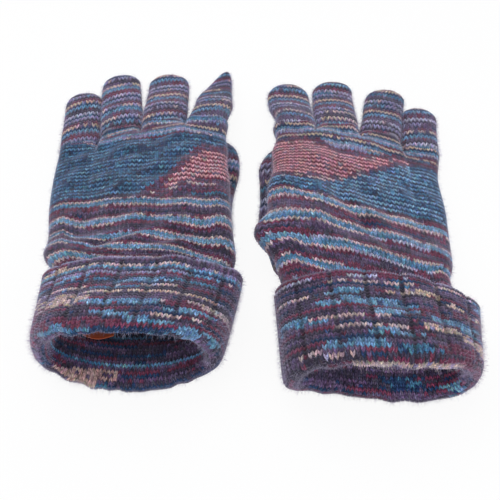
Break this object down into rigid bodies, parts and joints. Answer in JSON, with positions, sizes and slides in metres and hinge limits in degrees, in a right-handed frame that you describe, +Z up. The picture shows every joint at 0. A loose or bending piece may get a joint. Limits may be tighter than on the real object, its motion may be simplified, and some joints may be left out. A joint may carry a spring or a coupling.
{
  "type": "pair of knitted touchscreen gloves",
  "caption": "Pair of striped knitted gloves lying palm down, with turned-back ribbed cuffs, thumbs tucked under the palms and touch pads under the index and thumb tips.",
  "frame": {"origin": "on the table, under the middle of the pair's bounding box", "axes": "+Z up from the table, +Y from the cuffs towards the fingertips, +X towards the right glove"},
  "size_m": [0.2412, 0.255, 0.044],
  "materials": {
    "striped_wool": "matt knit",
    "finger_wool": "matt knit",
    "plum_wool": "matt knit",
    "cuff_wool": "matt rib knit",
    "conductive_thread": "faint metallic thread",
    "label_tape": "woven tape"
  },
  "bodies": {
    "left_glove": {"left_hand": "striped_wool", "left_wrist_rib": "plum_wool", "left_thumb_gusset": "plum_wool", "left_index_middle_bridge": "plum_wool", "left_middle_ring_bridge": "plum_wool", "left_ring_little_bridge": "plum_wool", "left_label": "label_tape"},
    "left_index_finger": {"left_index_finger": "finger_wool", "left_index_touch_pad": "conductive_thread"},
    "left_middle_finger": {"left_middle_finger": "finger_wool"},
    "left_ring_finger": {"left_ring_finger": "finger_wool"},
    "left_little_finger": {"left_little_finger": "finger_wool"},
    "left_thumb": {"left_thumb": "finger_wool", "left_thumb_touch_pad": "conductive_thread"},
    "left_turned_cuff": {"left_turned_cuff": "cuff_wool"},
    "right_glove": {"right_hand": "striped_wool", "right_wrist_rib": "plum_wool", "right_thumb_gusset": "plum_wool", "right_index_middle_bridge": "plum_wool", "right_middle_ring_bridge": "plum_wool", "right_ring_little_bridge": "plum_wool"},
    "right_index_finger": {"right_index_finger": "finger_wool", "right_index_touch_pad": "conductive_thread"},
    "right_middle_finger": {"right_middle_finger": "finger_wool"},
    "right_ring_finger": {"right_ring_finger": "finger_wool"},
    "right_little_finger": {"right_little_finger": "finger_wool"},
    "right_thumb": {"right_thumb": "finger_wool", "right_thumb_touch_pad": "conductive_thread"},
    "right_turned_cuff": {"right_turned_cuff": "cuff_wool"}
  },
  "joints": [
    {"name": "left_index_bend", "type": "hinge", "parent": "left_glove", "child": "left_index_finger", "pos_m": [-0.02459, 0.04952, 0.0158], "axis": [-0.998, 0.0628, 0], "range_deg": [-20, 80]},
    {"name": "left_middle_bend", "type": "hinge", "parent": "left_glove", "child": "left_middle_finger", "pos_m": [-0.05154, 0.053, 0.01196], "axis": [-0.9956, -0.0941, 0], "range_deg": [-20, 80]},
    {"name": "left_ring_bend", "type": "hinge", "parent": "left_glove", "child": "left_ring_finger", "pos_m": [-0.07718, 0.04957, 0.00812], "axis": [-0.9796, -0.2011, 0], "range_deg": [-20, 80]},
    {"name": "left_little_bend", "type": "hinge", "parent": "left_glove", "child": "left_little_finger", "pos_m": [-0.10073, 0.03679, 0.0062], "axis": [-0.9796, -0.2011, 0], "range_deg": [-20, 80]},
    {"name": "left_thumb_bend", "type": "hinge", "parent": "left_glove", "child": "left_thumb", "pos_m": [-0.01646, -0.02828, 0.0046], "axis": [-0.9999, 0.0105, 0], "range_deg": [0, 50]},
    {"name": "left_cuff_unfold", "type": "slide", "parent": "left_glove", "child": "left_turned_cuff", "axis": [0, -1, 0], "range_m": [0, 0.047]},
    {"name": "right_glove_lift", "type": "slide", "parent": "left_glove", "child": "right_glove", "axis": [0, 0, 1], "range_m": [0, 0.06]},
    {"name": "right_index_bend", "type": "hinge", "parent": "right_glove", "child": "right_index_finger", "pos_m": [0.02684, 0.04456, 0.0158], "axis": [-1, -0.0087, 0], "range_deg": [-20, 80]},
    {"name": "right_middle_bend", "type": "hinge", "parent": "right_glove", "child": "right_middle_finger", "pos_m": [0.05379, 0.04799, 0.01196], "axis": [-0.9992, 0.0401, 0], "range_deg": [-20, 80]},
    {"name": "right_ring_bend", "type": "hinge", "parent": "right_glove", "child": "right_ring_finger", "pos_m": [0.07942, 0.04452, 0.00812], "axis": [-0.9785, 0.2062, 0], "range_deg": [-20, 80]},
    {"name": "right_little_bend", "type": "hinge", "parent": "right_glove", "child": "right_little_finger", "pos_m": [0.10295, 0.03171, 0.0062], "axis": [-0.9785, 0.2062, 0], "range_deg": [-20, 80]},
    {"name": "right_thumb_bend", "type": "hinge", "parent": "right_glove", "child": "right_thumb", "pos_m": [0.01656, -0.03274, 0.0046], "axis": [-0.9962, 0.0872, 0], "range_deg": [0, 50]},
    {"name": "right_cuff_unfold", "type": "slide", "parent": "right_glove", "child": "right_turned_cuff", "axis": [0, -1, 0], "range_m": [0, 0.043]}
  ]
}
